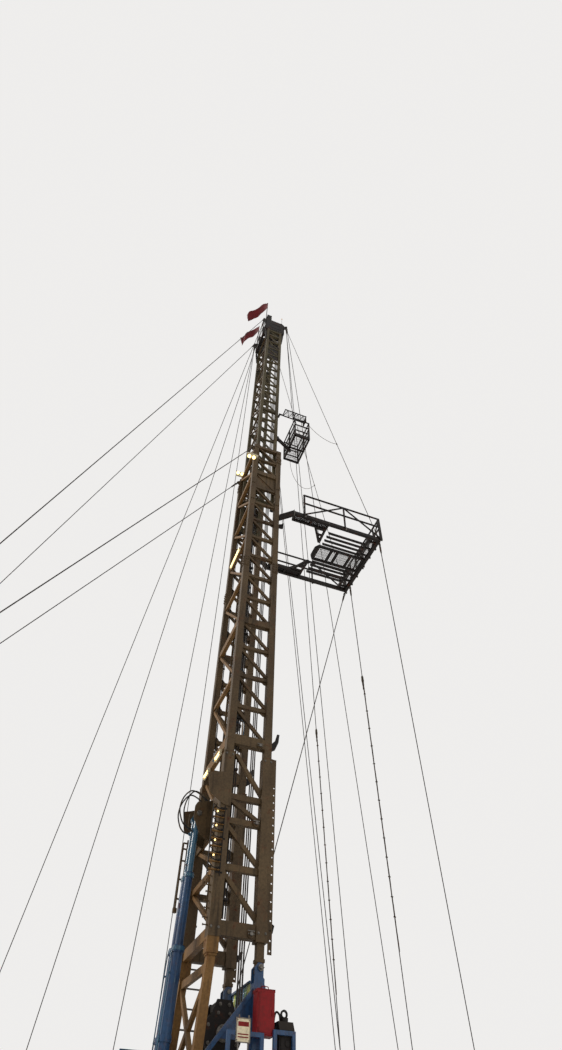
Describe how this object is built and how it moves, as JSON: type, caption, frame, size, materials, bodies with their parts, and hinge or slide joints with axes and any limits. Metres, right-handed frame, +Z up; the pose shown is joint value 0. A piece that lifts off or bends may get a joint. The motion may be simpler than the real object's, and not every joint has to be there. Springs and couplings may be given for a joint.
{
  "type": "guyed two-section workover rig mast on a base skid",
  "caption": "Tall open lattice oil rig mast on a base skid with telescoped upper section, racking board, rod basket, raising rams, travelling block and guy lines.",
  "frame": {"origin": "on the ground under the middle of the mast, on the underside of the skid's cross beam", "axes": "+Z up, +X towards the well side with the racking board, +Y across the mast to its far side"},
  "size_m": [23.2498, 17.0998, 32.35],
  "materials": {
    "blue_paint": "worn gloss blue paint",
    "ram_paint": "pale blue paint, oily",
    "tan_paint": "tan paint, sun-lit, dusty",
    "bronze_paint": "olive bronze paint, dusty",
    "dark_steel": "dark greasy paint",
    "grey_steel": "dull steel",
    "red_paint": "gloss red paint",
    "cream_paint": "cream enamel",
    "clear_sheet": "ribbed translucent sheet",
    "lamp_glass": "lit lamp glass",
    "wire_rope": "greased wire rope",
    "pennant_cloth": "dark red cloth"
  },
  "bodies": {
    "mast": {"base_skid": "blue_paint", "mast_posts": "blue_paint", "pivot_brackets": "blue_paint", "pivot_pins": "grey_steel", "base_braces": "blue_paint", "back_base_legs": "tan_paint", "base_leg_braces": "tan_paint", "working_floor": "blue_paint", "floor_handrails": "blue_paint", "floor_ladder": "grey_steel", "tool_box": "red_paint", "sign_panel": "cream_paint", "wind_strip": "clear_sheet", "tong_unit": "dark_steel", "leg_near_back": "bronze_paint", "leg_near_well": "bronze_paint", "leg_far_back": "bronze_paint", "leg_far_well": "bronze_paint", "lower_near_side": "bronze_paint", "lower_far_side": "bronze_paint", "lower_back": "tan_paint", "ram_gussets": "bronze_paint", "mast_hooks": "dark_steel", "climbing_rail": "bronze_paint", "guy_lugs": "bronze_paint", "ram_barrels": "blue_paint", "ram_middle_stages": "blue_paint", "ram_inner_stages": "ram_paint", "upper_legs": "bronze_paint", "upper_near_side": "bronze_paint", "upper_far_side": "bronze_paint", "upper_back": "bronze_paint", "guide_pads": "dark_steel", "lock_brackets": "dark_steel", "extension_cylinder": "grey_steel", "crown_frame": "dark_steel", "crown_beacon": "dark_steel", "sheave_shaft": "grey_steel", "drill_lines": "wire_rope", "board_arms": "dark_steel", "board_frame": "dark_steel", "board_fingers": "dark_steel", "diving_board": "dark_steel", "board_handrail": "dark_steel", "rod_basket": "dark_steel", "basket_bracket": "dark_steel", "floodlights": "lamp_glass", "tube_lamps": "lamp_glass", "crown_guys": "wire_rope", "middle_guys": "wire_rope", "board_guys": "wire_rope", "board_stays": "wire_rope", "ground_anchors": "grey_steel", "pennant_poles": "dark_steel", "pennants": "pennant_cloth"},
    "crown_sheaves": {"crown_sheaves": "grey_steel"},
    "travelling_block": {"travelling_block": "dark_steel", "hook": "dark_steel"}
  },
  "joints": [
    {"name": "hoist", "type": "slide", "parent": "mast", "child": "travelling_block", "axis": [0, 0, 1], "range_m": [0, 22], "deforming": ["drill_lines"]},
    {"name": "crown_sheaves_turn", "type": "hinge", "parent": "mast", "child": "crown_sheaves", "pos_m": [0.06, 0, 29.95], "axis": [0, 1, 0], "continuous": true}
  ]
}
